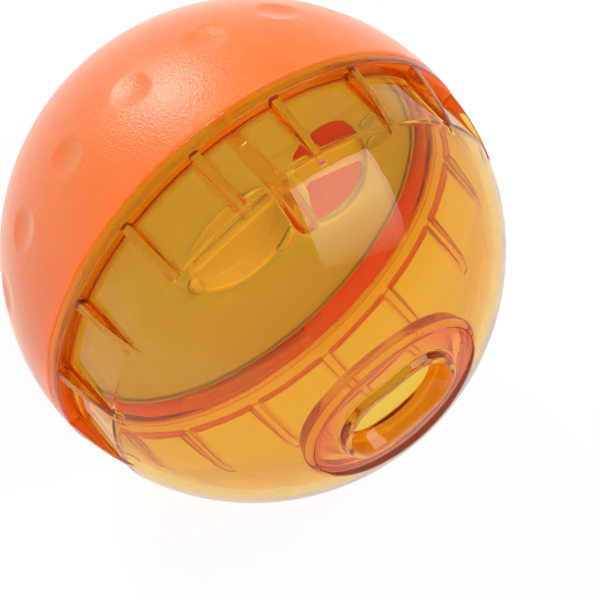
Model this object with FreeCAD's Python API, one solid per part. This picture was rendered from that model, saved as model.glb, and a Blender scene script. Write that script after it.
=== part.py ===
import FreeCAD, Part
import math
import os

Vector = FreeCAD.Vector

# Treat ball in two halves that screw together. All sizes are in millimetres.
# Every piece is drawn about the ball's own axis: local +Z points out of the mouth, local X is
# sideways and local Y is up. lay_down() then turns it so that the mouth faces -Y, as the ball
# lies. The origin is the centre of the ball, and local angles run from X towards Y.
CENTRE = Vector(0, 0, 0)
AXIS = Vector(0, 0, 1)

# The ball
ball_radius = 51.0
wall = 2.6
inner_radius = ball_radius - wall
seam_gap = 0.3
body_gap = 0.3

# How far joined forms run into each other, and how far a cut runs past its face
overlap = 0.4
beyond = 1.0

# Neck of the clear half, which the coloured half screws over
neck_outer = 46.2
neck_inner = 44.4
neck_length = 7.2

# Stepped waist of the clear half: a flange, a ledge, and a recessed wall that the fins cross
flange_height = 3.3
recess_radius = 47.9
waist_inner = 45.4
edge_bevel = 0.4
neck_slope_top = 1.5
neck_slope_bottom = 0.5

# Fins over the recessed wall, and the dimples of the coloured half that line up with them
fin_count = 16
fin_angle = 19.4
fin_root_width = 2.0
fin_tip_width = 1.5
fin_tip_height = 19.6
fin_tip_stands_out = 0.25
fin_set_back = 0.1
fin_end_rise = 0.7
fin_end_depth = 2.0
dimple_count = 16
dimple_height = -0.375 * ball_radius
dimple_radius = 4.65
dimple_depth = 0.8

# Mouth: an obround slot through an oval pad, with a raised lip in a shallow dish
mouth_angle = 16.3
mouth_half_length = 12.4
mouth_half_width = 7.8
mouth_length_slope = 0.34
mouth_width_slope = 0.51
mouth_bevel = 0.25
lip_width = 1.5
lip_height = 49.3
lip_bevel = 0.25
lip_foot = 2.0
dish_half_length = 21.4
dish_half_width = 17.3
dish_crown_radius = 131.0
dish_crown_height = 48.3
dish_slope = 0.42
dish_floor = 44.0
pad_inner_radius = 45.6
pad_depth = 7.6
pad_narrowing = 2.0

# Low rib up the inside of the clear half, between two fins, wider towards its rounded tip
rib_angle = 98.8
rib_foot = 2.0
rib_tip = 27.5
rib_foot_half_width = 1.5
rib_tip_half_width = 2.0
rib_thickness = 0.9

# Screw closure: short ramps on the neck, and matching ones in the coloured half
ramp_count = 4
ramp_lead = 18.0
ramp_span = 40.0
ramp_height = 1.7
ramp_crest_height = 1.2
neck_ramp_outer = 47.4
neck_ramp_middle = -5.3
shell_ramp_inner = 46.6
shell_ramp_middle = -3.05
ramp_angle = 0.0

# Divider: a flat-topped hat whose brim is held between the neck and a shelf in the other half
divider_face = -3.1
divider_floor = 1.2
divider_radius = neck_inner - body_gap
divider_wall = 1.4
brim_radius = 46.8
brim_thickness = 1.5
brim_top = -(neck_length + body_gap)
shelf_top = brim_top - brim_thickness - body_gap
shelf_inner = 45.4
shelf_thickness = 1.0
shelf_slope = 2.2
window_middle_radius = 24.1
window_half_width = 7.5
window_start = -8.7
window_end = 35.3

# Raised marks on the divider beside the window, which show the dial's levels
mark_reach = 35.0
mark_rise = 0.5
small_mark_angle = 25.3
small_mark_half_length = 2.2
small_mark_half_width = 1.3
large_mark_angle = 13.3
large_mark_half_length = 3.2
large_mark_half_width = 2.0

# Level dial: a finger cup through the divider, with a paddle behind it that has its own hole
cup_outer = 14.0
cup_inner = 12.6
cup_depth = 3.7
cup_floor = 1.2
cup_bevel = 0.8
bearing_gap = 0.05
paddle_angle = -11.7
paddle_hub_radius = 15.3
paddle_reach = 25.5
paddle_radius = 14.8
paddle_thickness = 1.2
meter_hole_radius = 8.7
meter_hole_reach = 23.2
meter_hole_offset = 1.6
meter_hole_flat = 7.6
grip_angle = 24.3
grip_width = 2.0
grip_height = 2.0
hook_count = 3
hook_span = 26.0
hook_reach = 14.9
hook_thickness = 0.8
hook_lag = 60.0


def polar(radius, angle, height=0.0):
    """Point at an angle in degrees, measured from local X."""
    turn = math.radians(angle)
    return Vector(radius * math.cos(turn), radius * math.sin(turn), height)


def cylinder(radius, bottom, top):
    return Part.makeCylinder(radius, top - bottom, Vector(0, 0, bottom), AXIS)


def ball(radius):
    return Part.makeSphere(radius, CENTRE, AXIS, -90, 90, 360)


def revolve(edges):
    """Solid of revolution about the ball's axis, from edges in the local XZ plane."""
    return Part.Face(Part.Wire(edges)).revolve(CENTRE, AXIS, 360)


def turned(shape, angle):
    """The shape, turned about the ball's axis."""
    copy = shape.copy()
    copy.rotate(CENTRE, AXIS, angle)
    return copy


def around(shape, count, first_angle=0.0):
    """Copies of a shape, spaced evenly about the ball's axis."""
    return [turned(shape, first_angle + step * 360.0 / count) for step in range(count)]


def arc(start, middle, end):
    return Part.Arc(start, middle, end).toShape()


def obround(half_length, half_width, height):
    """Flat-sided oval wire with its long axis along local X."""
    run = half_length - half_width
    right = arc(Vector(run, -half_width, height), Vector(half_length, 0, height),
                Vector(run, half_width, height))
    left = arc(Vector(-run, half_width, height), Vector(-half_length, 0, height),
               Vector(-run, -half_width, height))
    top = Part.LineSegment(Vector(run, half_width, height), Vector(-run, half_width, height))
    bottom = Part.LineSegment(Vector(-run, -half_width, height), Vector(run, -half_width, height))
    return Part.Wire([right, top.toShape(), left, bottom.toShape()])


def ellipse(half_length, half_width, height):
    return Part.Wire(Part.Ellipse(Vector(0, 0, height), half_length, half_width).toShape())


def tapered(lower_wire, upper_wire):
    """Straight-sided solid between two wires."""
    return Part.makeLoft([lower_wire, upper_wire], True, True)


def sphere_radius_at(height, radius):
    """Radius of the circle that a sphere about the centre has at a height."""
    return math.sqrt(radius ** 2 - height ** 2)


def height_on_ball(distance, radius):
    """Height at which a sphere about the centre is this far from the axis."""
    return math.sqrt(radius ** 2 - distance ** 2)


def on_ball(height, radius):
    """Point of the local XZ plane on a sphere about the centre."""
    return Vector(sphere_radius_at(height, radius), 0, height)


def arc_on_ball(start, end, radius):
    """Arc in the local XZ plane on a sphere about the centre."""
    middle = (start + end).normalize() * radius
    return arc(start, middle, end)


def path(points):
    """Straight edges from point to point."""
    return [Part.LineSegment(a, b).toShape() for a, b in zip(points, points[1:])]


def screw_ramp(inner, outer, middle):
    """One short ramp, swept along the closure's helix, its middle at local X."""
    rise = ramp_lead * ramp_span / 360.0
    helix = Part.makeHelix(ramp_lead, rise, inner)
    foot = ramp_height / 2.0
    crest = ramp_crest_height / 2.0
    profile = Part.makePolygon([Vector(inner, 0, -foot), Vector(outer, 0, -crest),
                                Vector(outer, 0, crest), Vector(inner, 0, foot),
                                Vector(inner, 0, -foot)])
    ramp = Part.Wire(helix.Edges).makePipeShell([profile], True, True)
    ramp.rotate(CENTRE, AXIS, -ramp_span / 2.0)
    ramp.translate(Vector(0, 0, middle - rise / 2.0))
    return ramp


def clear_wall():
    """The clear half's wall all round: neck, flange, ledge, recessed wall and dome."""
    rim = seam_gap / 2.0
    flange_low = on_ball(rim + edge_bevel, ball_radius)
    flange_high = on_ball(flange_height - edge_bevel, ball_radius)
    waist_top = Vector(recess_radius, 0, height_on_ball(recess_radius, ball_radius))
    inside_top = Vector(waist_inner, 0, height_on_ball(waist_inner, inner_radius))
    outline = path([
        Vector(neck_inner, 0, -neck_length),
        Vector(neck_outer - edge_bevel, 0, -neck_length),
        Vector(neck_outer, 0, -neck_length + edge_bevel),
        Vector(neck_outer, 0, rim),
        Vector(flange_low.x - edge_bevel, 0, rim),
        flange_low])
    outline.append(arc_on_ball(flange_low, flange_high, ball_radius))
    outline += path([
        flange_high,
        Vector(flange_high.x - edge_bevel, 0, flange_height),
        Vector(recess_radius, 0, flange_height),
        waist_top])
    pole = Vector(0, 0, ball_radius)
    inner_pole = Vector(0, 0, inner_radius)
    outline.append(arc_on_ball(waist_top, pole, ball_radius))
    outline += path([pole, inner_pole])
    outline.append(arc_on_ball(inner_pole, inside_top, inner_radius))
    outline += path([
        inside_top,
        Vector(waist_inner, 0, neck_slope_top),
        Vector(neck_inner, 0, neck_slope_bottom),
        Vector(neck_inner, 0, -neck_length)])
    return revolve(outline)


def fins():
    """Fins that bridge the recess out to the ball's own surface and taper to a point."""
    base = flange_height - overlap
    root = recess_radius - overlap
    middle_height = fin_tip_height / 2.0
    start = on_ball(base, ball_radius - fin_set_back)
    middle = on_ball(middle_height, ball_radius)
    tip = on_ball(fin_tip_height, ball_radius) + Vector(fin_tip_stands_out, 0, 0)
    foot_height = fin_tip_height + fin_end_rise
    foot = Vector(root - fin_end_depth, 0, foot_height)
    root_point = Vector(root, 0, base)
    ring = revolve([arc(start, middle, tip)] + path([tip, foot, root_point, start]))
    inside = root - fin_end_depth - beyond
    root_half = fin_root_width / 2.0
    tip_half = fin_tip_width / 2.0
    outline = Part.makePolygon([Vector(inside, -root_half, base), Vector(inside, root_half, base),
                                Vector(inside, tip_half, foot_height),
                                Vector(inside, -tip_half, foot_height),
                                Vector(inside, -root_half, base)])
    blade = Part.Face(outline).extrude(Vector(ball_radius + beyond - inside, 0, 0))
    return around(blade.common(ring), fin_count, fin_angle)


def mouth_pad():
    """Thick oval pad inside the dome that the mouth goes through."""
    block = tapered(ellipse(dish_half_length - pad_narrowing, dish_half_width - pad_narrowing,
                            pad_inner_radius - pad_depth),
                    ellipse(dish_half_length, dish_half_width, inner_radius + beyond))
    pad = block.common(ball(inner_radius + overlap)).cut(ball(pad_inner_radius))
    return turned(pad, mouth_angle)


def mouth_dish():
    """What is cut from the dome to leave the dish and the lip that stands in it."""
    top = ball_radius + beyond
    side = dish_slope * (top - dish_floor)
    bowl = tapered(ellipse(dish_half_length - side, dish_half_width - side, dish_floor),
                   ellipse(dish_half_length + side, dish_half_width + side, top))
    crown = Part.makeSphere(dish_crown_radius, Vector(0, 0, dish_crown_height - dish_crown_radius))
    lip_length = mouth_half_length + lip_width
    lip_breadth = mouth_half_width + lip_width
    shoulder = lip_height - lip_bevel
    lip = tapered(obround(lip_length + lip_foot, lip_breadth + lip_foot, dish_floor),
                  obround(lip_length, lip_breadth, shoulder))
    rim = tapered(obround(lip_length, lip_breadth, shoulder),
                  obround(lip_length - lip_bevel, lip_breadth - lip_bevel, lip_height))
    return turned(bowl.cut(crown).cut(lip).cut(rim), mouth_angle)


def mouth_hole():
    """Obround way through the pad, narrower inside, with a bevelled outer edge."""
    low = pad_inner_radius - pad_depth
    top = ball_radius + beyond
    depth = lip_height - low
    throat_half_length = mouth_half_length - mouth_length_slope * depth
    throat_half_width = mouth_half_width - mouth_width_slope * depth
    hole = tapered(obround(throat_half_length, throat_half_width, low),
                   obround(mouth_half_length, mouth_half_width, lip_height))
    above = tapered(obround(mouth_half_length, mouth_half_width, lip_height - overlap),
                    obround(mouth_half_length, mouth_half_width, top))
    bevel = tapered(obround(mouth_half_length, mouth_half_width, lip_height - mouth_bevel),
                    obround(mouth_half_length + 2 * mouth_bevel, mouth_half_width + 2 * mouth_bevel,
                            lip_height + mouth_bevel))
    return turned(hole.fuse([bevel, above]), mouth_angle)


def inner_skin():
    """Layer of the rib's thickness all round inside the waist and the dome, up to the rib's tip."""
    outer = waist_inner + overlap
    inner = waist_inner - rib_thickness
    outer_ball = inner_radius + overlap
    inner_ball = inner_radius - rib_thickness
    outer_bend = Vector(outer, 0, height_on_ball(outer, outer_ball))
    inner_bend = Vector(inner, 0, height_on_ball(inner, inner_ball))
    outer_top = on_ball(rib_tip + beyond, outer_ball)
    inner_top = on_ball(rib_tip + beyond, inner_ball)
    outline = path([inner_bend, Vector(inner, 0, rib_foot), Vector(outer, 0, rib_foot), outer_bend])
    outline.append(arc_on_ball(outer_bend, outer_top, outer_ball))
    outline += path([outer_top, inner_top])
    outline.append(arc_on_ball(inner_top, inner_bend, inner_ball))
    return revolve(outline)


def rib():
    """The rib: a round-tipped strip of the inner skin."""
    near = waist_inner / 2.0
    tip_start = rib_tip - rib_tip_half_width
    left = Vector(near, -rib_tip_half_width, tip_start)
    right = Vector(near, rib_tip_half_width, tip_start)
    outline = path([right, Vector(near, rib_foot_half_width, rib_foot),
                    Vector(near, -rib_foot_half_width, rib_foot), left])
    outline.append(arc(left, Vector(near, 0, rib_tip), right))
    strip = Part.Face(Part.Wire(outline)).extrude(Vector(ball_radius, 0, 0))
    return turned(strip.common(inner_skin()), rib_angle)


def clear_shell():
    """Clear half: dome with mouth and rib, stepped waist with fins, and neck with its ramps."""
    shell = clear_wall().fuse(mouth_pad()).cut(mouth_dish()).cut(mouth_hole())
    shell = shell.fuse(rib()).fuse(fins())
    ramp = screw_ramp(neck_outer - overlap, neck_ramp_outer, neck_ramp_middle)
    return shell.fuse(around(ramp, ramp_count, ramp_angle))


def dimples():
    """Balls that leave the ring of shallow round dimples."""
    rim = sphere_radius_at(dimple_radius, ball_radius)
    rise = rim - (ball_radius - dimple_depth)
    tool_radius = (dimple_radius ** 2 + rise ** 2) / (2.0 * rise)
    reach = ball_radius - dimple_depth + tool_radius
    tilt = math.asin(dimple_height / ball_radius)
    centre = Vector(reach * math.cos(tilt), 0, reach * math.sin(tilt))
    return around(Part.makeSphere(tool_radius, centre), dimple_count, fin_angle)


def coloured_wall():
    """The coloured half's wall all round, with the shelf for the divider inside."""
    rim = -seam_gap / 2.0
    pole = Vector(0, 0, -ball_radius)
    inner_pole = Vector(0, 0, -inner_radius)
    outer_edge = on_ball(rim - edge_bevel, ball_radius)
    inner_edge = on_ball(rim - edge_bevel, inner_radius)
    shelf_outer = on_ball(shelf_top, inner_radius)
    shelf_bottom = shelf_top - shelf_thickness
    shelf_foot = on_ball(shelf_bottom - shelf_slope, inner_radius)
    outline = [arc_on_ball(pole, outer_edge, ball_radius)]
    outline += path([
        outer_edge,
        Vector(outer_edge.x - edge_bevel, 0, rim),
        Vector(inner_edge.x + edge_bevel, 0, rim),
        inner_edge])
    outline.append(arc_on_ball(inner_edge, shelf_outer, inner_radius))
    outline += path([
        shelf_outer,
        Vector(shelf_inner, 0, shelf_top),
        Vector(shelf_inner, 0, shelf_bottom),
        shelf_foot])
    outline.append(arc_on_ball(shelf_foot, inner_pole, inner_radius))
    outline += path([inner_pole, pole])
    return revolve(outline)


def orange_shell():
    """Coloured half: a hemisphere with dimples, a shelf for the divider, and closure ramps."""
    body = coloured_wall()
    for dimple in dimples():
        body = body.cut(dimple)
    ramp = screw_ramp(shell_ramp_inner, inner_radius + overlap, shell_ramp_middle)
    return body.fuse(around(ramp, ramp_count, ramp_angle))


def window():
    """Kidney-shaped window through the divider."""
    inner = window_middle_radius - window_half_width
    outer = window_middle_radius + window_half_width
    middle_angle = (window_start + window_end) / 2.0
    top = divider_face + beyond
    first = polar(window_middle_radius, window_start, top)
    last = polar(window_middle_radius, window_end, top)
    first_cap = first + polar(window_half_width, window_start - 90)
    last_cap = last + polar(window_half_width, window_end + 90)
    wire = Part.Wire([
        arc(polar(outer, window_start, top), polar(outer, middle_angle, top),
            polar(outer, window_end, top)),
        arc(polar(outer, window_end, top), last_cap, polar(inner, window_end, top)),
        arc(polar(inner, window_end, top), polar(inner, middle_angle, top),
            polar(inner, window_start, top)),
        arc(polar(inner, window_start, top), first_cap, polar(outer, window_start, top))])
    return Part.Face(wire).extrude(Vector(0, 0, -divider_floor - 2 * beyond))


def level_mark(half_length, half_width, angle):
    """Low oval on the divider's face, its long axis towards the ball's axis."""
    wire = obround(half_length, half_width, divider_face - overlap)
    wire.translate(Vector(mark_reach, 0, 0))
    return turned(Part.Face(wire).extrude(Vector(0, 0, overlap + mark_rise)), angle)


def divider():
    """Hat-shaped wall between the halves, with its window, marks and the dial's hole."""
    hole = cup_outer + bearing_gap
    floor_bottom = divider_face - divider_floor
    brim_bottom = brim_top - brim_thickness
    inside = divider_radius - divider_wall
    hat = revolve(path([
        Vector(hole, 0, divider_face),
        Vector(divider_radius - edge_bevel, 0, divider_face),
        Vector(divider_radius, 0, divider_face - edge_bevel),
        Vector(divider_radius, 0, brim_top),
        Vector(brim_radius, 0, brim_top),
        Vector(brim_radius, 0, brim_bottom),
        Vector(inside, 0, brim_bottom),
        Vector(inside, 0, floor_bottom),
        Vector(hole, 0, floor_bottom),
        Vector(hole, 0, divider_face)]))
    small = level_mark(small_mark_half_length, small_mark_half_width, small_mark_angle)
    large = level_mark(large_mark_half_length, large_mark_half_width, large_mark_angle)
    return hat.cut(window()).fuse([small, large])


def paddle_outline(height):
    """Hub circle and paddle circle, joined by their outer tangents."""
    lean = math.degrees(math.acos((paddle_hub_radius - paddle_radius) / paddle_reach))
    end = Vector(paddle_reach, 0, height)
    hub_top = polar(paddle_hub_radius, lean, height)
    hub_bottom = polar(paddle_hub_radius, -lean, height)
    tip_top = end + polar(paddle_radius, lean)
    tip_bottom = end + polar(paddle_radius, -lean)
    return Part.Wire([
        arc(hub_top, Vector(-paddle_hub_radius, 0, height), hub_bottom),
        Part.LineSegment(hub_bottom, tip_bottom).toShape(),
        arc(tip_bottom, end + Vector(paddle_radius, 0, 0), tip_top),
        Part.LineSegment(tip_top, hub_top).toShape()])


def meter_hole(bottom, top):
    """Round hole with one flat side, which sets how fast the treats pass."""
    centre = Vector(meter_hole_reach, meter_hole_offset, bottom)
    hole = Part.makeCylinder(meter_hole_radius, top - bottom, centre, AXIS)
    size = 2 * meter_hole_radius
    past_flat = Part.makeBox(size, size, top - bottom,
                             Vector(meter_hole_reach - meter_hole_radius, meter_hole_flat, bottom))
    return hole.cut(past_flat)


def dial_hooks(bottom):
    """Snap hooks on the cup's rim that hold the dial in the divider."""
    top = bottom + hook_thickness
    low = bottom - body_gap - overlap
    ring = revolve(path([
        Vector(cup_inner, 0, low),
        Vector(cup_outer, 0, low),
        Vector(cup_outer, 0, bottom),
        Vector(hook_reach, 0, bottom),
        Vector(cup_outer, 0, top),
        Vector(cup_inner, 0, top),
        Vector(cup_inner, 0, low)]))
    corner = polar(2 * hook_reach, hook_span / 2.0, low)
    opposite = polar(2 * hook_reach, -hook_span / 2.0, low)
    centre = Vector(0, 0, low)
    wedge = Part.Face(Part.makePolygon([centre, opposite, corner, centre]))
    hook = ring.common(wedge.extrude(Vector(0, 0, top - low)))
    return around(hook, hook_count, grip_angle + hook_lag)


def grip_bar(floor_top):
    """Bar across the cup that fingers turn the dial by."""
    reach = cup_inner + overlap
    half = grip_width / 2.0
    top = floor_top + grip_height
    low = floor_top - overlap
    outline = Part.makePolygon([
        Vector(-reach, -half, low), Vector(-reach, half, low),
        Vector(-reach, half, top - edge_bevel), Vector(-reach, half - edge_bevel, top),
        Vector(-reach, edge_bevel - half, top), Vector(-reach, -half, top - edge_bevel),
        Vector(-reach, -half, low)])
    return turned(Part.Face(outline).extrude(Vector(2 * reach, 0, 0)), grip_angle)


def level_dial():
    """Dial: finger cup with a grip bar, and the paddle with its metering hole."""
    floor_top = divider_face - cup_depth
    cup_bottom = floor_top - cup_floor
    cup = revolve(path([
        Vector(0, 0, cup_bottom),
        Vector(cup_outer - cup_bevel, 0, cup_bottom),
        Vector(cup_outer, 0, cup_bottom + cup_bevel),
        Vector(cup_outer, 0, divider_face),
        Vector(0, 0, divider_face),
        Vector(0, 0, cup_bottom)]))
    plate_top = divider_face - divider_floor - body_gap
    plate_bottom = plate_top - paddle_thickness
    plate = Part.Face(paddle_outline(plate_bottom)).extrude(Vector(0, 0, paddle_thickness))
    plate = plate.cut(meter_hole(plate_bottom - beyond, plate_top + beyond))
    dial = cup.fuse(turned(plate, paddle_angle))
    dial = dial.cut(cylinder(cup_inner, floor_top, divider_face + beyond))
    return dial.fuse(grip_bar(floor_top)).fuse(dial_hooks(divider_face + body_gap))


def lay_down(shape):
    """Turn a piece from its own axis to the way the ball lies, mouth towards -Y."""
    shape.rotate(CENTRE, Vector(1, 0, 0), 90)
    return shape


def main():
    os.makedirs("parts", exist_ok=True)
    pieces = {
        "clear_shell": clear_shell,
        "orange_shell": orange_shell,
        "divider": divider,
        "level_dial": level_dial,
    }
    for name, make in pieces.items():
        shape = lay_down(make())
        print(name, "solids", len(shape.Solids), "valid", shape.isValid(),
              "volume", round(shape.Volume, 1))
        shape.Solids[0].exportStep("parts/" + name + ".step")


main()
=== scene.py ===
import math

import bmesh
import bpy
import numpy as np
from mathutils import Matrix, Vector


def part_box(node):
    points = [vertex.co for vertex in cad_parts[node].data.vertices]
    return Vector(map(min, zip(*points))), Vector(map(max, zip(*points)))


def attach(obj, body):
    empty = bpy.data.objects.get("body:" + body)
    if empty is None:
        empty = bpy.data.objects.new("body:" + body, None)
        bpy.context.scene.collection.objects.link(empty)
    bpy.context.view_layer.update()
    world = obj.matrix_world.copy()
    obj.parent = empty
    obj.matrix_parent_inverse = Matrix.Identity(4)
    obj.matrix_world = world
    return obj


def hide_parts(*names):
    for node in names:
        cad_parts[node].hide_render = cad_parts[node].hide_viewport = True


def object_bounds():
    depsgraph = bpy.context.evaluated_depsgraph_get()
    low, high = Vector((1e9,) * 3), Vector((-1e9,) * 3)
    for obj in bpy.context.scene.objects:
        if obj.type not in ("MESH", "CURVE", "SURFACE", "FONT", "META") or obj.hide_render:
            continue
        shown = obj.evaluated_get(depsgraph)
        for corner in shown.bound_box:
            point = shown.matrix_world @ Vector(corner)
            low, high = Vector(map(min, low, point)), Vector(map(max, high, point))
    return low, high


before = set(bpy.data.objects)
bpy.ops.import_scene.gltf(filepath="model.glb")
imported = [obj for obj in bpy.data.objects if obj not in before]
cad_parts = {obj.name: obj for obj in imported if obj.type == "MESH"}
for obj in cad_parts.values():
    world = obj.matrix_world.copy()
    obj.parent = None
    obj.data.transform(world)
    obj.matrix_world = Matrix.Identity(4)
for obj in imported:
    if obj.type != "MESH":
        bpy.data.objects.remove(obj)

# Looks of a treat ball in two halves: a grained orange half, a clear amber half with fins and a
# mouth, and between them a pale divider with a turning dial. Shapes are worked out in millimetres
# about the ball's own axis, as the construction is: local z points out of the mouth, local x is
# sideways and local y is up. place() turns them to the way the ball lies, in metres.
cad_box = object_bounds()
millimetre = 0.001
turn = 2 * math.pi

# The ball, measured on the frame
shell_low, shell_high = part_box("orange_shell")
ball_radius = (shell_high.x - shell_low.x) / 2 / millimetre
wall = 2.6
inner_radius = ball_radius - wall
half_seam = 0.15
pole_radius = 0.3

# Neck and screw ramps
neck_outer = 46.2
neck_inner = 44.4
neck_length = 7.2
ramp_count = 4
ramp_lead = 18.0
ramp_half_span = math.radians(20.0)
ramp_fade = math.radians(0.8)
ramp_foot = 0.85
ramp_crest = 0.6
neck_ramp_height = 1.2
neck_ramp_middle = -5.3
neck_ramps_low = 0.5 - neck_length
neck_ramps_high = -0.2
shell_ramp_radius = 46.6
shell_ramp_middle = -3.05
shell_ramps_low = -6.2
shell_ramps_high = -0.7

# Waist with its ledge, recess and fins
flange_height = 3.3
recess_radius = 47.9
waist_inner = 45.4
waist_slope_top = 1.5
waist_slope_bottom = 0.5
fin_count = 16
fin_angle = math.radians(19.4)
fin_root_half_width = 1.0
fin_tip_half_width = 0.75
fin_tip_height = 19.6
fin_tip_stands_out = 0.25
fin_set_back = 0.1
fin_edge = 0.22
fin_fillet = 0.35
fin_least_round = 0.05
fin_edge_turns = [math.radians(30.0), math.radians(60.0)]
dome_low = 26.0

# Mouth: dish, lip and hole, and the pad behind them
mouth_angle = math.radians(16.3)
mouth_half_length = 12.4
mouth_half_width = 7.8
throat_half_length = 10.72
throat_half_width = 5.73
lip_width = 1.5
lip_foot = 0.65
lip_height = 49.3
dish_length = 20.35
dish_width = 17.29
dish_skirt = 1.08
dish_floor_length = 19.7
dish_floor_width = 15.9
crown_radius = 131.0
crown_centre = 48.3 - crown_radius
pad_inner_radius = 45.6
pad_length = 19.92
pad_width = 16.12
pad_foot_length = 20.43
pad_foot_width = 16.6
beside_pad_length = 22.0
beside_pad_width = 18.2

# Low rib up the inside of the clear half
rib_angle = math.radians(98.8)
rib_tip = 27.5
rib_foot_half_width = 1.8
rib_tip_half_width = 2.2
rib_thickness = 0.5
rib_edge = 0.9

# Haze in the clear half's thick corners: how far it reaches, and how strong it is, from 0 to 1.
# The dish rim's start and fade are shares of the dish's size
ledge_haze_reach = 0.9
fin_foot_haze_reach = 0.45
flange_haze = 0.3
fin_haze = 0.15
dish_rim_haze = 0.4
dish_rim_start = 0.94
dish_rim_fade = 0.03
rib_side_haze = 0.6

# Light in the coloured half's wall: how much further it scatters on the inner face, and how far
# from the centre the wall counts as its inner and its outer face
inner_scatter = 7.0
inner_face_reach = 49.5
outer_face_reach = 50.0

# Dimples of the coloured half
dimple_height = -0.375 * ball_radius
dimple_radius = 4.65
dimple_depth = 0.8
dimple_softness = 0.06

# Shelf inside the coloured half
shelf_top = -9.3
shelf_bottom = -10.3
shelf_foot = -12.5
shelf_inner = 45.4

# Divider
divider_face = -3.1
divider_floor = 1.2
divider_radius = 44.1
divider_wall = 1.4
divider_overlap = 0.5
brim_radius = 46.8
brim_top = -7.5
brim_bottom = -9.0
window_middle_radius = 24.1
window_half_width = 7.5
window_start = math.radians(-8.7)
window_end = math.radians(35.3)
dial_hole = 14.05
mark_reach = 35.0
mark_rise = 0.5
mark_root = 0.2
small_mark_angle = math.radians(25.3)
large_mark_angle = math.radians(13.3)

# Dial
cup_outer = 14.0
cup_inner = 12.6
cup_depth = 3.7
cup_floor = 1.2
paddle_angle = math.radians(-11.7)
paddle_hub_radius = 15.3
paddle_hub_hole = cup_inner + 0.7
paddle_reach = 25.5
paddle_radius = 14.8
paddle_thickness = 1.2
paddle_gap = 0.3
meter_hole_radius = 8.7
meter_hole_reach = 23.2
meter_hole_offset = 1.6
meter_hole_flat = 7.6
grip_angle = math.radians(24.3)
grip_half_width = 1.0
grip_height = 2.0
grip_root = 0.3
hook_count = 3
hook_lag = math.radians(60)
hook_half_span = math.radians(13.0)
hook_reach = 14.9
hook_thickness = 0.8
hook_root = 0.6
hook_nose_out = 0.85
hook_nose_up = 0.25
hook_taper = 0.99

# Camera: the direction towards it, its right and its up, its distance in ball radii, and then
# the photograph's pixels: the ball's radius, and the picture's middle from the ball's
view_away = Vector((-0.3588, -0.4884, 0.7955))
view_right = Vector((0.806, -0.592, 0.0))
view_up = Vector((0.4709, 0.6412, 0.606))
camera_distance = 30
ball_pixels = 253.3
middle_right_of_ball = 46.5
middle_below_ball = 50.4

# Columns of the round grids: a whole number per fin sector, so that they can follow the fins
half_columns = 16
columns = 2 * half_columns * fin_count
sector = turn / fin_count
even_offsets = np.linspace(0, sector / 2, half_columns + 1)


def place(points):
    """Local millimetres to the frame's metres: the mouth faces -Y."""
    points = np.asarray(points, float)
    turned = np.stack([points[..., 0], -points[..., 2], points[..., 1]], axis=-1)
    return turned * millimetre


def all_round(offsets):
    """Column angles all round the ball, from the offsets across half a fin sector."""
    across = np.concatenate([-offsets[-2:0:-1], offsets])
    centres = fin_angle + np.arange(fin_count) * sector
    return (centres[:, None] + across[None, :]).ravel()


def all_sectors(values):
    """One value per column, from the values across half a fin sector."""
    across = np.concatenate([values[-2:0:-1], values])
    return np.tile(across, fin_count)


even_angles = all_round(even_offsets)


def row(radius, height, angles=even_angles):
    """One ring of the grid: radius, height and angle of each column."""
    zero = np.zeros(columns)
    return np.stack([zero + radius, zero + height, zero + angles])


def oval(half_length, half_width):
    """Radius of an ellipse about the axis, by column."""
    angles = even_angles - mouth_angle
    return half_length * half_width / np.hypot(half_width * np.cos(angles),
                                               half_length * np.sin(angles))


def obround(half_length, half_width):
    """Radius of a flat-sided oval about the axis, by column."""
    angles = even_angles - mouth_angle
    run = half_length - half_width
    along = np.abs(np.cos(angles))
    across = np.abs(np.sin(angles))
    flat = half_width / np.maximum(across, 1e-6)
    round_end = run * along + np.sqrt(half_width ** 2 - (run * across) ** 2)
    return np.where(flat * along <= run, flat, round_end)


def on_ball(distance, ball):
    """Height at which a ball about the centre has this radius, or its radius at this height."""
    return np.sqrt(ball ** 2 - distance ** 2)


def towards(here, there, distance):
    """The ring moved towards another by a distance, half the way at most."""
    gap = np.hypot(*(there[:2] - here[:2]))
    share = np.minimum(distance / np.maximum(gap, 1e-9), 0.5)
    return here + (there - here) * share


def between(here, there, share, curved):
    """Ring part of the way to another, straight or along a ball about the centre."""
    mixed = here + (there - here) * share
    if curved:
        lean = np.arctan2(here[0], here[1]) * (1 - share) + np.arctan2(there[0], there[1]) * share
        reach = np.hypot(here[0], here[1]) * (1 - share) + np.hypot(there[0], there[1]) * share
        mixed[0] = reach * np.sin(lean)
        mixed[1] = reach * np.cos(lean)
    return mixed


def profile(corners, closed):
    """Rings along a path of corners: (ring, rounding, steps to the next, along a ball or not)."""
    rings = []
    count = len(corners)
    for index, (here, rounding, steps, curved) in enumerate(corners):
        first = index == 0 and not closed
        last = index == count - 1 and not closed
        after, next_rounding = corners[(index + 1) % count][:2]
        bend = [here]
        if rounding and not first and not last:
            start = towards(here, corners[index - 1][0], rounding)
            end = towards(here, after, rounding)
            bend = [start * (1 - t) ** 2 + here * 2 * t * (1 - t) + end * t ** 2
                    for t in np.linspace(0, 1, 5)]
        rings += bend
        if last:
            break
        target = towards(after, here, next_rounding) if next_rounding else after
        rings += [between(bend[-1], target, step / steps, curved) for step in range(1, steps)]
    return np.array(rings)


def ring_points(rings):
    """Local points of the rings."""
    radius, height, angles = rings[:, 0], rings[:, 1], rings[:, 2]
    return np.stack([radius * np.cos(angles), radius * np.sin(angles), height], axis=-1)


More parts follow.
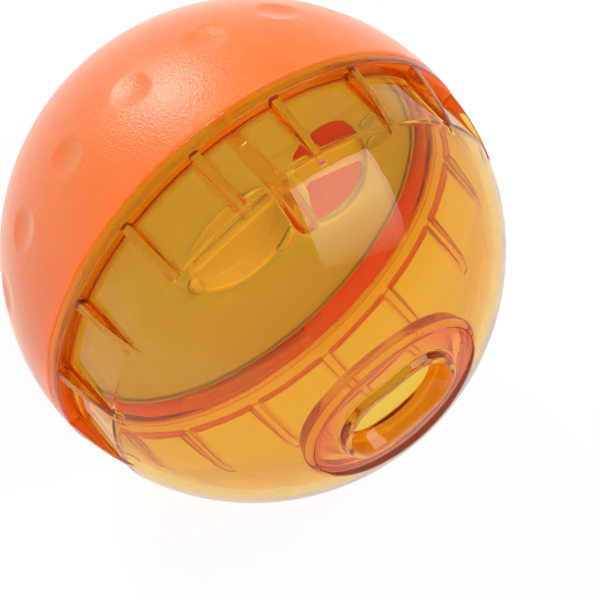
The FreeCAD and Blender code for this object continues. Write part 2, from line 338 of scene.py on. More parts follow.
def grid_object(name, rings, closed):
    """Smooth mesh object of rings. An open grid is closed with a fan at each end."""
    points = ring_points(rings)
    count, width = points.shape[:2]
    number = np.arange(count * width).reshape(count, width)
    lower = number if closed else number[:-1]
    upper = np.roll(number, -1, axis=0) if closed else number[1:]
    quads = np.stack([lower, np.roll(lower, -1, axis=1), np.roll(upper, -1, axis=1), upper], -1)
    faces = quads.reshape(-1, 4).tolist()
    vertices = points.reshape(-1, 3)
    if not closed:
        for ring, flip in ((0, True), (-1, False)):
            pole = len(vertices)
            middle = np.append(points[ring, :, :2].mean(0), points[ring, 0, 2])
            vertices = np.concatenate([vertices, [middle]])
            for here, there in zip(number[ring], np.roll(number[ring], -1)):
                faces.append([pole, there, here] if flip else [pole, here, there])
    return mesh_object(name, vertices, faces)


def mesh_object(name, vertices, faces):
    """Smooth mesh object from local millimetres, with its faces turned outwards."""
    mesh = bpy.data.meshes.new(name)
    mesh.from_pydata(place(vertices).tolist(), [], faces)
    work = bmesh.new()
    work.from_mesh(mesh)
    bmesh.ops.recalc_face_normals(work, faces=work.faces)
    work.to_mesh(mesh)
    work.free()
    mesh.polygons.foreach_set("use_smooth", [True] * len(mesh.polygons))
    return linked(name, mesh)


def linked(name, data):
    """New object in the scene that shows a mesh, lamp or camera."""
    thing = bpy.data.objects.new(name, data)
    bpy.context.scene.collection.objects.link(thing)
    return thing


def ramp_share(height, middle):
    """How far each column is up a screw ramp at a height: 0 off the ramps, 1 on their crests."""
    spacing = turn / ramp_count
    along = (even_angles + spacing / 2) % spacing - spacing / 2
    centre = middle + ramp_lead * along / turn
    across = np.clip((ramp_foot - np.abs(height - centre)) / (ramp_foot - ramp_crest), 0, 1)
    return across * np.clip((ramp_half_span - np.abs(along)) / ramp_fade, 0, 1)


def neck_rings():
    """Outside of the neck, with the ramps, from its end up to the flange."""
    rings = []
    for height in np.linspace(neck_ramps_low, neck_ramps_high, 30):
        radius = neck_outer + neck_ramp_height * ramp_share(height, neck_ramp_middle)
        rings.append((row(radius, height), 0, 1, False))
    return rings


def fin_climb(height):
    """How far up the fins a height is: 0 at the flange, 1 at their tips."""
    return (height - flange_height) / (fin_tip_height - flange_height)


def fin_half_width(height):
    """Half the width of a fin at a height."""
    climb = np.clip(fin_climb(height), 0, 1)
    return fin_root_half_width + (fin_tip_half_width - fin_root_half_width) * climb


def fin_radius(height):
    """Radius of a fin's outer edge at a height."""
    stands_out = (fin_tip_stands_out + fin_set_back) * fin_climb(height) ** 2
    return on_ball(height, ball_radius) - fin_set_back + stands_out


def fin_offsets(half_width, edge, fillet):
    """Column offsets across half a sector, drawn in to follow a fin's sides and rounds."""
    foot = half_width + 0.02
    distances = [0.0, 0.6 * (half_width - edge), half_width - edge]
    distances += [half_width - edge + edge * math.sin(angle) for angle in fin_edge_turns]
    distances += [half_width, half_width + 0.01, foot, foot + 0.3 * fillet, foot + fillet]
    offsets = np.array(distances) / recess_radius
    rest = half_columns + 1 - len(offsets)
    return np.concatenate([offsets, np.linspace(offsets[-1], sector / 2, rest + 1)[1:]])


def fin_ring(base_radius, base_height, top_radius, top_height, share=1.0):
    """Ring across the waist: at the base off the fins, out at their top edges on them."""
    reach = max(top_radius - base_radius, 0.0)
    edge = max(min(fin_edge, 0.35 * reach), fin_least_round)
    fillet = max(min(fin_fillet, 0.35 * reach), fin_least_round)
    offsets = fin_offsets(fin_half_width(top_height), edge, fillet)
    offsets = even_offsets + (offsets - even_offsets) * share
    side = max(reach - edge - fillet, 0.0)
    drops = [0, 0, 0] + [edge * (1 - math.cos(angle)) for angle in fin_edge_turns]
    drops += [edge, edge + side / 2, edge + side, edge + side + 0.7 * fillet]
    drops = np.minimum(np.array(drops), reach)
    drops = np.concatenate([drops, np.full(half_columns + 1 - len(drops), reach)])
    depth = drops / reach if reach else np.ones(half_columns + 1)
    radius = base_radius + reach - drops
    height = top_height + (base_height - top_height) * depth
    return (row(all_sectors(radius), all_sectors(height), all_round(offsets)), 0, 1, False)


def ball_ring(height, share):
    """Ring on the ball's surface whose columns are partly drawn in to the fins."""
    radius = on_ball(height, ball_radius)
    return fin_ring(radius, height, radius, height, share)


def waist_rings():
    """From the flange's outer face over the ledge and the recess to the dome."""
    flange = ((0.9, 0.1), (1.4, 0.35), (1.9, 0.7), (2.4, 0.95), (2.75, 1.0))
    rings = [ball_ring(height, share) for height, share in flange]
    ledge = ((-0.03, -0.25), (-0.12, -0.10), (-0.35, -0.01), (-1.2, 0.0), (-2.2, 0.0))
    ledge_radius = on_ball(flange_height, ball_radius)
    for step, (outward, rise) in enumerate(ledge):
        top = 2.9 + 0.06 * step
        rings.append(fin_ring(ledge_radius + outward, flange_height + rise, fin_radius(top), top))
    recess_corner = ((0.25, 0.02), (0.08, 0.1), (0.0, 0.3))
    for outward, rise in recess_corner:
        top = flange_height + rise
        rings.append(fin_ring(recess_radius + outward, top, fin_radius(top), top))
    for height in np.linspace(4.2, 16.9, 14):
        rings.append(fin_ring(recess_radius, height, fin_radius(height), height))
    recess_end = (17.3, 17.5, 17.75, 18.2, 18.8, 19.3, 19.6)
    for height in recess_end:
        base = min(recess_radius - 0.02, on_ball(height, ball_radius))
        rings.append(fin_ring(base, height, fin_radius(height), height))
    dome = ((19.9, 1.0), (20.4, 0.92), (21.3, 0.75), (22.6, 0.45), (24.2, 0.15))
    return rings + [ball_ring(height, share) for height, share in dome]


def crown(radius):
    """Height of the dish's floor at a distance from the axis."""
    return crown_centre + np.sqrt(crown_radius ** 2 - radius ** 2)


def mouth_rings():
    """Dish, lip and hole from outside, then the pad inside the dome."""
    rim = oval(dish_length, dish_width)
    skirt = rim * dish_skirt
    floor_edge = oval(dish_floor_length, dish_floor_width)
    lip_length = mouth_half_length + lip_width
    lip_breadth = mouth_half_width + lip_width
    foot = obround(lip_length + lip_foot, lip_breadth + lip_foot)
    lip = obround(lip_length, lip_breadth)
    mouth = obround(mouth_half_length, mouth_half_width)
    throat = obround(throat_half_length, throat_half_width)
    pad = oval(pad_length, pad_width)
    pad_foot = oval(pad_foot_length, pad_foot_width)
    beside_pad = oval(beside_pad_length, beside_pad_width)
    return [
        (row(skirt, on_ball(skirt, ball_radius)), 0, 3, True),
        (row(rim, on_ball(rim, ball_radius)), 0.5, 2, False),
        (row(floor_edge, crown(floor_edge)), 0.6, 5, False),
        (row(foot, crown(foot)), 0.35, 3, False),
        (row(lip, lip_height), 0.45, 3, False),
        (row(mouth, lip_height), 0.3, 8, False),
        (row(throat, on_ball(throat, pad_inner_radius)), 0.5, 8, True),
        (row(pad, on_ball(pad, pad_inner_radius)), 0.5, 3, False),
        (row(pad_foot, on_ball(pad_foot, inner_radius)), 0.5, 2, True),
        (row(beside_pad, on_ball(beside_pad, inner_radius)), 0, 70, True)]


def rib_share(rings):
    """How far each point is up the rib: 0 off it, 1 on its crest."""
    radius, height, angles = rings[:, 0], rings[:, 1], rings[:, 2]
    aside = radius * np.abs((angles - rib_angle + math.pi) % turn - math.pi)
    tip_start = rib_tip - rib_tip_half_width
    climb = np.clip((height - waist_slope_top) / (tip_start - waist_slope_top), 0, 1)
    half_width = rib_foot_half_width + (rib_tip_half_width - rib_foot_half_width) * climb
    past = np.maximum(height - tip_start, 0)
    share = np.clip((half_width - np.hypot(aside, past)) / rib_edge, 0, 1)
    foot = np.clip((height - waist_slope_bottom) / (waist_slope_top - waist_slope_bottom), 0, 1)
    inside = (np.hypot(radius, height) < inner_radius + 0.01) & (height > 0)
    return np.where(inside, share * share * (3 - 2 * share) * foot, 0)


def ribbed(rings, share):
    """The rings with the rib raised on those that line the waist and the dome."""
    radius, height = rings[:, 0], rings[:, 1]
    reach = np.hypot(radius, height)
    straight = height < on_ball(waist_inner, inner_radius)
    lift = rib_thickness * share
    rings = rings.copy()
    rings[:, 0] -= np.where(straight, lift, lift * radius / reach)
    rings[:, 1] -= np.where(straight, 0, lift * height / reach)
    return rings


def edge_share(rings):
    """How near each point is to the thick corners of the ledge and the fins' feet: 0 to 1."""
    radius, height, angles = rings[:, 0], rings[:, 1], rings[:, 2]
    outward = radius - recess_radius
    ledge_drop = 0.8 * (height - flange_height - 0.2)
    ledge = 1 - np.hypot(outward - 0.1, ledge_drop) / ledge_haze_reach
    aside = recess_radius * np.abs((angles - fin_angle + sector / 2) % sector - sector / 2)
    half_width = fin_half_width(height)
    foot = 1 - np.hypot(aside - half_width - 0.1, 0.6 * outward) / fin_foot_haze_reach
    beside = (height > flange_height) & (height < fin_tip_height) & (outward > -0.1)
    below_ledge = (height > 0) & (height < flange_height + 0.05) & (radius > neck_outer + 0.1)
    on_fin = beside & (aside < half_width) & (outward > 0.3)
    thick = np.maximum(flange_haze * below_ledge, fin_haze * on_fin)
    return np.clip(np.maximum(np.maximum(ledge, thick), np.where(beside, foot, 0)), 0, 1)


def dish_rim_share(rings):
    """1 along the rim of the dish, on the outer side of the wall, else 0."""
    radius, height, angles = rings[:, 0], rings[:, 1], rings[:, 2]
    angles = angles - mouth_angle
    size = radius * np.hypot(np.cos(angles) / dish_length, np.sin(angles) / dish_width)
    share = np.clip(1 + np.minimum(size - dish_rim_start, 1 - size) / dish_rim_fade, 0, 1)
    return np.where((height > 0) & (np.hypot(radius, height) > pad_inner_radius + 0.3), share, 0)


def keep_share(thing, name, share):
    """Store one value per point, for the material to read."""
    values = thing.data.attributes.new(name, "FLOAT", "POINT")
    values.data.foreach_set("value", np.ascontiguousarray(share, np.float32).ravel())


def clear_shell():
    """Clear half as one closed grid of rings."""
    corners = [(row(neck_inner, -neck_length), 0.3, 2, False),
               (row(neck_outer, -neck_length), 0.4, 2, False)]
    corners += neck_rings()
    corners += [(row(neck_outer, half_seam), 0.2, 4, False),
                (row(on_ball(half_seam, ball_radius), half_seam), 0.4, 2, False)]
    corners += waist_rings()
    corners.append((row(on_ball(dome_low, ball_radius), dome_low), 0, 26, True))
    corners += mouth_rings()
    corners += [(row(waist_inner, on_ball(waist_inner, inner_radius)), 0.3, 16, False),
                (row(waist_inner, waist_slope_top), 0.3, 2, False),
                (row(neck_inner, waist_slope_bottom), 0.3, 8, False)]
    rings = profile(corners, True)
    share = rib_share(rings)
    shell = grid_object("clear_half_moulding", ribbed(rings, share), True)
    keep_share(shell, "rib", share)
    rim = dish_rim_haze * dish_rim_share(rings)
    rib_side = rib_side_haze * 4 * share * (1 - share)
    keep_share(shell, "edge", np.maximum(edge_share(rings), np.maximum(rim, rib_side)))
    return shell


def dimpled(rings):
    """The rings with the dimples sunk into them."""
    points = ring_points(rings)
    directions = points / np.linalg.norm(points, axis=-1, keepdims=True)
    tilt = math.asin(dimple_height / ball_radius)
    nearest = fin_angle + np.round((rings[:, 2] - fin_angle) / sector) * sector
    centres = np.stack([np.cos(tilt) * np.cos(nearest), np.cos(tilt) * np.sin(nearest),
                        np.full_like(nearest, math.sin(tilt))], axis=-1)
    distance = ball_radius * np.linalg.norm(directions - centres, axis=-1)
    cap = dimple_depth * (1 - (distance / dimple_radius) ** 2)
    depth = (cap + np.sqrt(cap ** 2 + dimple_softness ** 2)) / 2
    depth = np.where(distance < 2 * dimple_radius, depth, 0)
    reach = np.hypot(rings[:, 0], rings[:, 1])
    scale = (reach - depth) / reach
    rings = rings.copy()
    rings[:, 0] *= scale
    rings[:, 1] *= scale
    return rings


def shell_ramp_rings():
    """Rings of the coloured half's inner face that carry the screw ramps."""
    rings = []
    for height in np.linspace(shell_ramps_high, shell_ramps_low, 26):
        radius = on_ball(height, inner_radius)
        lift = ramp_share(height, shell_ramp_middle)
        rings.append((row(radius + (shell_ramp_radius - radius) * lift, height), 0, 1, False))
    return rings


def orange_shell():
    """Coloured half: dimpled outside, rounded rim, ramps and shelf inside."""
    near_rim = -1.0
    outside = profile([
        (row(pole_radius, -on_ball(pole_radius, ball_radius)), 0, 118, True),
        (row(on_ball(near_rim, ball_radius), near_rim), 0, 1, True)], False)
    outside = dimpled(outside)
    corners = [(outside[-1], 0, 1, False),
               (row(on_ball(half_seam, ball_radius), -half_seam), 0.45, 3, False),
               (row(inner_radius, -half_seam), 0.3, 2, False)]
    corners += shell_ramp_rings()
    corners += [(row(on_ball(shelf_top, inner_radius), shelf_top), 0.15, 2, False),
                (row(shelf_inner, shelf_top), 0.3, 1, False),
                (row(shelf_inner, shelf_bottom), 0.3, 2, False),
                (row(on_ball(shelf_foot, inner_radius), shelf_foot), 0.3, 50, True),
                (row(pole_radius, -on_ball(pole_radius, inner_radius)), 0, 1, True)]
    rings = np.concatenate([outside[:-1], profile(corners, False)])
    return grid_object("orange_half_moulding", rings, False)


def arc_points(centre, radius, start, end, count):
    """Points along an arc, ends included."""
    angles = np.linspace(start, end, count)
    return [(centre[0] + radius * math.cos(a), centre[1] + radius * math.sin(a)) for a in angles]


def circle_points(radius, count):
    """Points round a circle about the axis."""
    return arc_points((0, 0), radius, 0, turn, count + 1)[:-1]


def turned_points(points, angle):
    """Flat points turned about the axis."""
    return [(x * math.cos(angle) - y * math.sin(angle), x * math.sin(angle) + y * math.cos(angle))
            for x, y in points]


def window_points():
    """Outline of the kidney-shaped window."""
    inner = window_middle_radius - window_half_width
    outer = window_middle_radius + window_half_width
    first, last = [(window_middle_radius * math.cos(angle), window_middle_radius * math.sin(angle))
                   for angle in (window_start, window_end)]
    points = arc_points((0, 0), outer, window_start, window_end, 30)
    points += arc_points(last, window_half_width, window_end, window_end + math.pi, 25)[1:]
    points += arc_points((0, 0), inner, window_end, window_start, 20)[1:]
    points += arc_points(first, window_half_width, window_start + math.pi,
                         window_start + turn, 25)[1:-1]
    return points


def plate(name, outlines, low, high, rounding):
    """Flat plate from an outline and its holes, with rounded edges."""
    curve = bpy.data.curves.new(name, "CURVE")
    curve.dimensions = "2D"
    curve.fill_mode = "BOTH"
    curve.extrude = (high - low) / 2 - rounding
    curve.bevel_depth = rounding
    curve.bevel_resolution = 2
    curve.offset = -rounding
    for outline in outlines:
        spline = curve.splines.new("POLY")
        spline.points.add(len(outline) - 1)
        for point, (x, y) in zip(spline.points, outline):
            point.co = (x, y, 0, 1)
        spline.use_cyclic_u = True
    holder = bpy.data.objects.new(name, curve)
    mesh = bpy.data.meshes.new_from_object(holder)
    bpy.data.objects.remove(holder)
    middle = (low + high) / 2
    vertices = np.array([(v.co.x, v.co.y, v.co.z + middle) for v in mesh.vertices])
    faces = [list(p.vertices) for p in mesh.polygons]
    bpy.data.meshes.remove(mesh)
    return mesh_object(name, vertices, faces)


def joined(name, things):
    """One object of several, with crisp edges kept crisp."""
    work = bmesh.new()
    for thing in things:
        work.from_mesh(thing.data)
        bpy.data.objects.remove(thing)
    bmesh.ops.remove_doubles(work, verts=work.verts, dist=1e-6)
    mesh = bpy.data.meshes.new(name)
    work.to_mesh(mesh)
    work.free()
    mesh.set_sharp_from_angle(angle=math.radians(35))
    return linked(name, mesh)


def revolved(name, path):
    """Closed ring with a section given as (radius, height, rounding)."""
    corners = [(row(radius, height), rounding, 2, False) for radius, height, rounding in path]
    return grid_object(name, profile(corners, True), True)


def level_mark(name, angle, half_length, half_width):
    """Low raised oval on the divider, pointing at the axis."""
    run = half_length - half_width
    quarter = turn / 4
    points = arc_points((mark_reach + run, 0), half_width, -quarter, quarter, 17)
    points += arc_points((mark_reach - run, 0), half_width, quarter, 3 * quarter, 17)
    return plate(name, [turned_points(points, angle)], divider_face - mark_root,
                 divider_face + mark_rise, rounding=0.3)


def divider():
    """Hat-shaped divider: holed face, skirt and brim, and two raised marks."""
    inside = divider_radius - divider_wall
    outlines = [circle_points(inside + divider_overlap, 256), window_points(),
                circle_points(dial_hole, 128)]
    face = plate("divider_face", outlines, divider_face - divider_floor, divider_face,
                 rounding=0.15)
    skirt = revolved("divider_skirt", [
        (inside, divider_face - 0.02, 0.0), (divider_radius, divider_face, 0.45),
        (divider_radius, brim_top, 0.3), (brim_radius, brim_top, 0.4),
        (brim_radius, brim_bottom, 0.4), (inside, brim_bottom, 0.3)])
    small_mark = level_mark("small_mark", small_mark_angle, half_length=2.2, half_width=1.3)
    large_mark = level_mark("large_mark", large_mark_angle, half_length=3.2, half_width=2.0)
    return joined("divider_moulding", [face, skirt, small_mark, large_mark])


def paddle_points():
    """Hub circle and paddle circle, joined by their outer tangents."""
    lean = math.acos((paddle_hub_radius - paddle_radius) / paddle_reach)
    points = arc_points((paddle_reach, 0), paddle_radius, -lean, lean, 48)
    points += arc_points((0, 0), paddle_hub_radius, lean, turn - lean, 64)
    return turned_points(points, paddle_angle)


def meter_hole_points():
    """Round hole with one flat side."""
    centre = (meter_hole_reach, meter_hole_offset)
    lean = math.asin((meter_hole_flat - meter_hole_offset) / meter_hole_radius)
    points = arc_points(centre, meter_hole_radius, math.pi - lean, turn + lean, 56)
    return turned_points(points, paddle_angle)


def grip_bar(floor_top):
    """Bar across the cup that fingers turn the dial by."""
    reach = math.sqrt((cup_inner + grip_root) ** 2 - grip_half_width ** 2)
    outline = [(-reach, -grip_half_width), (reach, -grip_half_width),
               (reach, grip_half_width), (-reach, grip_half_width)]
    return plate("grip_bar", [turned_points(outline, grip_angle)], floor_top - grip_root,
                 floor_top + grip_height, rounding=0.35)


def hook(index, bottom):
    """Snap hook on the cup's rim, rounded off at both ends."""
    centre = grip_angle + hook_lag + index * turn / hook_count
    vertices = []
    angles = np.linspace(-hook_half_span, hook_half_span, 25)
    for angle in angles:
        share = math.sqrt(1 - hook_taper * (angle / hook_half_span) ** 2)
        out = (hook_reach - cup_outer) * share
        rise = hook_thickness * share
        section = [(cup_inner, bottom - hook_root), (cup_outer, bottom - hook_root),
                   (cup_outer, bottom), (cup_outer + out, bottom),
                   (cup_outer + hook_nose_out * out, bottom + hook_nose_up * rise),
                   (cup_outer, bottom + rise), (cup_inner, bottom + rise)]
        vertices += [(r * math.cos(centre + angle), r * math.sin(centre + angle), z)
                     for r, z in section]
    size = len(section)
    faces = [[step * size + side, step * size + (side + 1) % size,
              (step + 1) * size + (side + 1) % size, (step + 1) * size + side]
             for step in range(len(angles) - 1) for side in range(size)]
    faces += [list(range(size)), list(range(len(vertices) - size, len(vertices)))]
    return mesh_object("hook_" + str(index), vertices, faces)


def dial():
    """Dial: finger cup with a grip bar and hooks, and the paddle with its hole."""
    floor_top = divider_face - cup_depth
    cup_bottom = floor_top - cup_floor
    corners = [(row(pole_radius, cup_bottom), 0, 6, False),
               (row(cup_outer, cup_bottom), 0.8, 4, False),
               (row(cup_outer, divider_face), 0.2, 2, False),
               (row(cup_inner, divider_face), 0.3, 4, False),
               (row(cup_inner, floor_top), 0.8, 6, False),
               (row(pole_radius, floor_top), 0, 1, False)]
    cup = grid_object("cup", profile(corners, False), False)
    paddle_top = divider_face - divider_floor - paddle_gap
    outlines = [paddle_points(), meter_hole_points(), circle_points(paddle_hub_hole, 96)]
    paddle = plate("paddle", outlines, paddle_top - paddle_thickness, paddle_top, rounding=0.2)
    hooks = [hook(index, divider_face + paddle_gap) for index in range(hook_count)]
    return joined("dial_moulding", [cup, paddle, grip_bar(floor_top)] + hooks)


def node(tree, kind, **values):
    """A shader node, with its sockets set by name."""
    made = tree.nodes.new(kind)
    for name, value in values.items():
        made.inputs[name.replace("_", " ")].default_value = value
    return made


def new_material(name):
    """Empty node material: (material, tree, output)."""
    material = bpy.data.materials.new(name)
    material.use_nodes = True
    tree = material.node_tree
    tree.nodes.clear()
    return material, tree, tree.nodes.new("ShaderNodeOutputMaterial")


def linear(red, green, blue):
    """Display colour, 0 to 255, as a linear colour."""
    parts = [channel / 255 for channel in (red, green, blue)]
    return tuple(c / 12.92 if c <= 0.04045 else ((c + 0.055) / 1.055) ** 2.4 for c in parts) + (1,)


def grey(level):
    """Linear grey, from 0 for black to 1 for white."""
    return (level, level, level, 1)


def object_place(tree):
    """The point's place in the object's own coordinates, in metres."""
    return tree.nodes.new("ShaderNodeTexCoord").outputs["Object"]


def point_value(tree, name):
    """A value stored on the mesh's points."""
    stored = tree.nodes.new("ShaderNodeAttribute")
    stored.attribute_name = name
    return stored.outputs["Fac"]


def length_of(tree, vector):
    """Length of a vector."""
    made = tree.nodes.new("ShaderNodeVectorMath")
    made.operation = "LENGTH"
    tree.links.new(vector, made.inputs[0])
    return made.outputs["Value"]


def parts_of(tree, vector):
    """X, Y and Z of a vector."""
    made = tree.nodes.new("ShaderNodeSeparateXYZ")
    tree.links.new(vector, made.inputs[0])
    return made.outputs


def calculated(tree, operation, *sources):
    """Result of a math node on one or two sources."""
    made = tree.nodes.new("ShaderNodeMath")
    made.operation = operation
    for source, socket in zip(sources, made.inputs):
        tree.links.new(source, socket)
    return made.outputs[0]


def mixed_shader(tree, share, first, second):
    """The first shader where the share is 0, and the second where it is 1."""
    made = tree.nodes.new("ShaderNodeMixShader")
    for source, socket in zip((share, first, second), made.inputs):
        tree.links.new(source, socket)
    return made.outputs[0]


def colour_mix(tree, share):
    """Colour mix node by a share: (input at 0, input at 1, result)."""
    made = tree.nodes.new("ShaderNodeMix")
    made.data_type = "RGBA"
    tree.links.new(share, made.inputs[0])
    return made.inputs[6], made.inputs[7], made.outputs[2]


def noise(tree, scale, detail):
    """Noise over the object's own coordinates."""
    texture = node(tree, "ShaderNodeTexNoise", Scale=scale, Detail=detail, Roughness=0.5)
    tree.links.new(object_place(tree), texture.inputs["Vector"])
    return texture.outputs["Fac"]


def ramp(tree, source, stops):
    """Colour ramp fed by a value, with its stops as (position, colour)."""
    made = tree.nodes.new("ShaderNodeValToRGB")
    elements = made.color_ramp.elements
    while len(elements) < len(stops):
        elements.new(0.5)
    for element, (position, colour) in zip(elements, stops):
        element.position = position
        element.color = colour
    tree.links.new(source, made.inputs["Fac"])
    return made.outputs["Color"]


def bump(tree, heights, distance, strength):
    """Bump from a height value."""
    made = node(tree, "ShaderNodeBump", Strength=strength, Distance=distance)
    tree.links.new(heights, made.inputs["Height"])
    return made.outputs["Normal"]


def orange_plastic():
    """Orange plastic with a fine leather-like grain, which lets light through to its inside."""
    material, tree, output = new_material("orange grained plastic")
    shader = node(tree, "ShaderNodeBsdfPrincipled", IOR=1.5, Subsurface_Weight=0.8,
                  Subsurface_Radius=(0.006, 0.001, 0.0004), Sheen_Weight=0.4,
                  Sheen_Roughness=0.3, Sheen_Tint=(1, 0.9, 0.85, 1))
    mottle = noise(tree, scale=90.0, detail=3.0)
    colour = ramp(tree, mottle, [(0.3, linear(240, 117, 49)), (0.7, linear(242, 124, 55))])
    tree.links.new(colour, shader.inputs["Base Color"])
    reach = length_of(tree, object_place(tree))
    scatter = node(tree, "ShaderNodeMapRange", From_Min=inner_face_reach * millimetre,
                   From_Max=outer_face_reach * millimetre, To_Min=inner_scatter, To_Max=1.0)
    tree.links.new(reach, scatter.inputs["Value"])
    tree.links.new(scatter.outputs[0], shader.inputs["Subsurface Scale"])
    cells = node(tree, "ShaderNodeTexVoronoi", Scale=1900.0)
    cells.feature = "SMOOTH_F1"
    tree.links.new(object_place(tree), cells.inputs["Vector"])
    fine = noise(tree, scale=2600.0, detail=2.0)
    grain = calculated(tree, "ADD", cells.outputs["Distance"], fine)
    grain_bump = bump(tree, grain, distance=0.0002, strength=0.4)
    tree.links.new(grain_bump, shader.inputs["Normal"])
    rough = ramp(tree, fine, [(0.2, grey(0.27)), (0.8, grey(0.4))])
    tree.links.new(rough, shader.inputs["Roughness"])
    tree.links.new(shader.outputs[0], output.inputs["Surface"])
    return material


def mouth_tint(tree):
    """The wall's amber, but deeper orange over the dish, where the plastic is thickest."""
    turned = node(tree, "ShaderNodeMapping", Rotation=(0, mouth_angle, 0))
    squeezed = node(tree, "ShaderNodeMapping", Scale=(1 / (dish_length * millimetre), 0,
                                                      1 / (dish_width * millimetre)))
    tree.links.new(object_place(tree), turned.inputs["Vector"])
    tree.links.new(turned.outputs[0], squeezed.inputs["Vector"])
    in_dish = squeezed.outputs[0]
    aside = calculated(tree, "ABSOLUTE", parts_of(tree, in_dish)["X"])
    deep = ramp(tree, aside, [(0.3, (0.95, 0.56, 0.14, 1)), (0.65, (0.95, 0.34, 0.09, 1))])
    over_dish = ramp(tree, length_of(tree, in_dish), [(0.66, grey(0)), (0.76, grey(1)),
                                                      (0.97, grey(1)), (1.0, grey(0))])
    wall_tint, dish_tint, result = colour_mix(tree, over_dish)
    wall_tint.default_value = (0.935, 0.72, 0.19, 1)
    tree.links.new(deep, dish_tint)
    return result


def rib_tint(tree, colour):
    """The colour, made deeper along the rib."""
    plain, shade, result = colour_mix(tree, point_value(tree, "rib"))
    shade.default_value = (0.97, 0.62, 0.14, 1)
    tree.links.new(colour, plain)
    return result


def with_haze(tree, base, name, colour, least, most):
    """The shader with a translucent haze, from least to most as a point's value goes to 1."""
    haze = node(tree, "ShaderNodeBsdfTranslucent", Color=colour)
    share = ramp(tree, point_value(tree, name), [(0.0, grey(least)), (1.0, grey(most))])
    return mixed_shader(tree, share, base, haze.outputs[0])


def clear_amber():
    """Clear amber plastic, deeper in colour where it is thicker, that lets lamps shine through."""
    material, tree, output = new_material("clear amber plastic")
    shader = node(tree, "ShaderNodeBsdfPrincipled", Roughness=0.0, IOR=1.43,
                  Transmission_Weight=1.0)
    tree.links.new(rib_tint(tree, mouth_tint(tree)), shader.inputs["Base Color"])
    ripple = noise(tree, scale=60.0, detail=2.0)
    ripple_bump = bump(tree, ripple, distance=0.0004, strength=0.12)
    tree.links.new(ripple_bump, shader.inputs["Normal"])
    body = with_haze(tree, shader.outputs[0], "edge", (1, 0.22, 0.01, 1), least=0.05, most=0.7)
    body = with_haze(tree, body, "rib", (1, 0.45, 0.05, 1), least=0.0, most=0.25)
    passing = node(tree, "ShaderNodeBsdfTransparent", Color=grey(1))
    rays = tree.nodes.new("ShaderNodeLightPath")
    surface = mixed_shader(tree, rays.outputs["Is Shadow Ray"], body, passing.outputs[0])
    tree.links.new(surface, output.inputs["Surface"])
    absorption = node(tree, "ShaderNodeVolumeAbsorption", Color=(0.994, 0.888, 0.1, 1),
                      Density=220.0)
    tree.links.new(absorption.outputs[0], output.inputs["Volume"])
    return material


def milky_plastic(name, colour, reach, roughness):
    """Pale milky plastic, in which light travels as far as the reach, in metres."""
    material, tree, output = new_material(name)
    shader = node(tree, "ShaderNodeBsdfPrincipled", Roughness=roughness, IOR=1.5,
                  Subsurface_Weight=0.85, Subsurface_Scale=1.0,
                  Subsurface_Radius=(reach, 0.75 * reach, 0.4 * reach))
    cloud = noise(tree, scale=70.0, detail=3.0)
    darker = tuple(0.93 * c for c in colour[:3]) + (1,)
    tree.links.new(ramp(tree, cloud, [(0.25, darker), (0.75, colour)]),
                   shader.inputs["Base Color"])
    ripple = noise(tree, scale=400.0, detail=3.0)
    tree.links.new(bump(tree, ripple, distance=0.0001, strength=0.3), shader.inputs["Normal"])
    tree.links.new(shader.outputs[0], output.inputs["Surface"])
    return material


def white_to_the_eye(tree, base, share):
    """The shader, with a share of plain white to camera, mirror and glass rays."""
    rays = tree.nodes.new("ShaderNodeLightPath")
    seen = rays.outputs["Is Camera Ray"]
    for other in ("Is Glossy Ray", "Is Transmission Ray"):
        seen = calculated(tree, "MAXIMUM", seen, rays.outputs[other])
    scaled = node(tree, "ShaderNodeMath")
    scaled.operation = "MULTIPLY"
    scaled.inputs[1].default_value = share
    tree.links.new(seen, scaled.inputs[0])
    white = node(tree, "ShaderNodeEmission", Color=grey(1), Strength=1.0)
    return mixed_shader(tree, scaled.outputs[0], base, white.outputs[0])


def floor():
    """Plain pale floor just under the ball."""
    material, tree, output = new_material("pale floor")
    pale = node(tree, "ShaderNodeBsdfDiffuse", Color=grey(0.86))
    surface = white_to_the_eye(tree, pale.outputs[0], share=0.9)
    tree.links.new(surface, output.inputs["Surface"])
    half = 4.0
    level = cad_box[0].z - 0.0001
    mesh = bpy.data.meshes.new("floor")
    mesh.from_pydata([(-half, -half, level), (half, -half, level), (half, half, level),
                      (-half, half, level)], [], [(0, 1, 2, 3)])
    mesh.materials.append(material)
    linked("floor", mesh)


def surroundings():
    """Plain grey surroundings, palest below the ball and darker above it."""
    world = bpy.data.worlds.new("studio")
    bpy.context.scene.world = world
    world.use_nodes = True
    tree = world.node_tree
    tree.nodes.clear()
    output = tree.nodes.new("ShaderNodeOutputWorld")
    base = tree.nodes.new("ShaderNodeBackground")
    direction = tree.nodes.new("ShaderNodeTexCoord").outputs["Generated"]
    height = parts_of(tree, direction)["Z"]
    shades = ramp(tree, height, [(0.0, grey(0.75)), (0.25, grey(0.38)), (0.8, grey(0.2))])
    tree.links.new(shades, base.inputs["Color"])
    tree.links.new(base.outputs[0], output.inputs["Surface"])


def softbox(name, direction, across, distance, width, height, power, fade=False,
            mirrored=True, refracted=True):
    """Soft rectangular lamp that faces the ball, its width along a given direction."""
    lamp = bpy.data.lights.new(name, "AREA")
    lamp.shape = "RECTANGLE"
    lamp.size = width
    lamp.size_y = height
    lamp.energy = power
    if fade:
        faded(lamp)
    holder = linked(name, lamp)
    away = Vector(direction).normalized()
    side = Vector(across)
    side = (side - away * side.dot(away)).normalized()
    holder.location = away * distance
    holder.rotation_mode = "QUATERNION"
    holder.rotation_quaternion = Matrix((side, away.cross(side), away)).transposed().to_quaternion()
    holder.visible_camera = False
    holder.visible_glossy = mirrored
    holder.visible_transmission = refracted


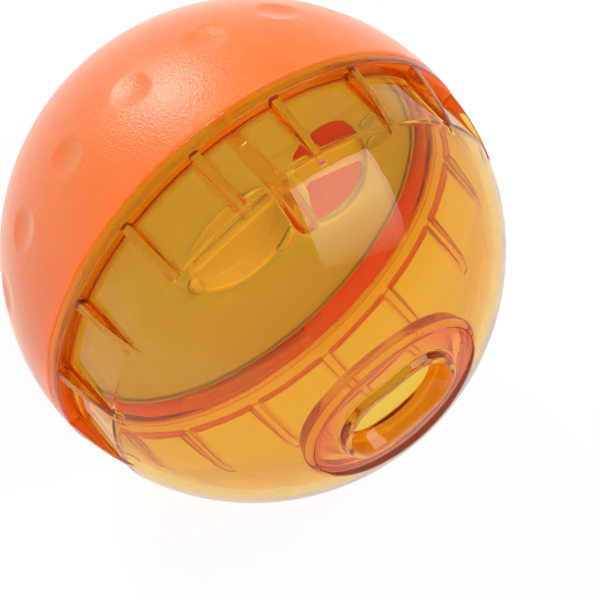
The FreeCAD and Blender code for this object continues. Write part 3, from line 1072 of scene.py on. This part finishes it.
def faded(lamp):
    """Let the lamp grow darker towards its lower edge."""
    lamp.use_nodes = True
    tree = lamp.node_tree
    emission = next(each for each in tree.nodes if each.type == "EMISSION")
    place_on_lamp = tree.nodes.new("ShaderNodeNewGeometry").outputs["Parametric"]
    shades = ramp(tree, parts_of(tree, place_on_lamp)["Y"], [(0.0, grey(0.1)), (0.6, grey(1))])
    tree.links.new(shades, emission.inputs["Color"])


def camera():
    """Camera at the photograph's angle, far away with a long lens."""
    radius = ball_radius * millimetre
    shift_right = middle_right_of_ball / ball_pixels * radius
    shift_down = middle_below_ball / ball_pixels * radius
    aim = view_right * shift_right - view_up * shift_down
    data = bpy.data.cameras.new("camera")
    data.lens = 455.7
    data.sensor_width = 36.0
    data.clip_end = 50.0
    thing = linked("camera", data)
    thing.location = view_away.normalized() * camera_distance * radius
    thing.rotation_mode = "QUATERNION"
    thing.rotation_quaternion = (thing.location - aim).to_track_quat("Z", "Y")
    bpy.context.scene.camera = thing


def dress(thing, material, body, replaced):
    """Give a piece its material and its body, and hide the part that it replaces."""
    thing.data.materials.clear()
    thing.data.materials.append(material)
    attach(thing, body)
    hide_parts(replaced)


def main():
    """Make the pieces, the floor, the lamps and the camera."""
    dress(clear_shell(), clear_amber(), "clear_half", "clear_shell")
    dress(orange_shell(), orange_plastic(), "coloured_half", "orange_shell")
    divider_look = milky_plastic("milky divider plastic", linear(217, 203, 195), reach=0.008,
                                 roughness=0.35)
    dress(divider(), divider_look, "divider_plate", "divider")
    dial_look = milky_plastic("milky dial plastic", linear(217, 198, 178), reach=0.002,
                              roughness=0.22)
    dress(dial(), dial_look, "dial", "level_dial")
    floor()
    surroundings()
    softbox("window", direction=(0.44, -0.565, 0.698), across=(0.898, 0.158, -0.41),
            distance=0.62, width=0.50, height=0.44, power=2.9, fade=True)
    softbox("back softbox", direction=(0.0, 0.82, 0.57), across=(1, 0, 0),
            distance=0.9, width=0.28, height=0.28, power=5.0, refracted=False)
    softbox("front fill", direction=view_away, across=view_right,
            distance=1.2, width=0.22, height=0.22, power=7.5, mirrored=False, refracted=False)
    camera()
    bpy.context.scene.view_settings.view_transform = "Standard"


main()
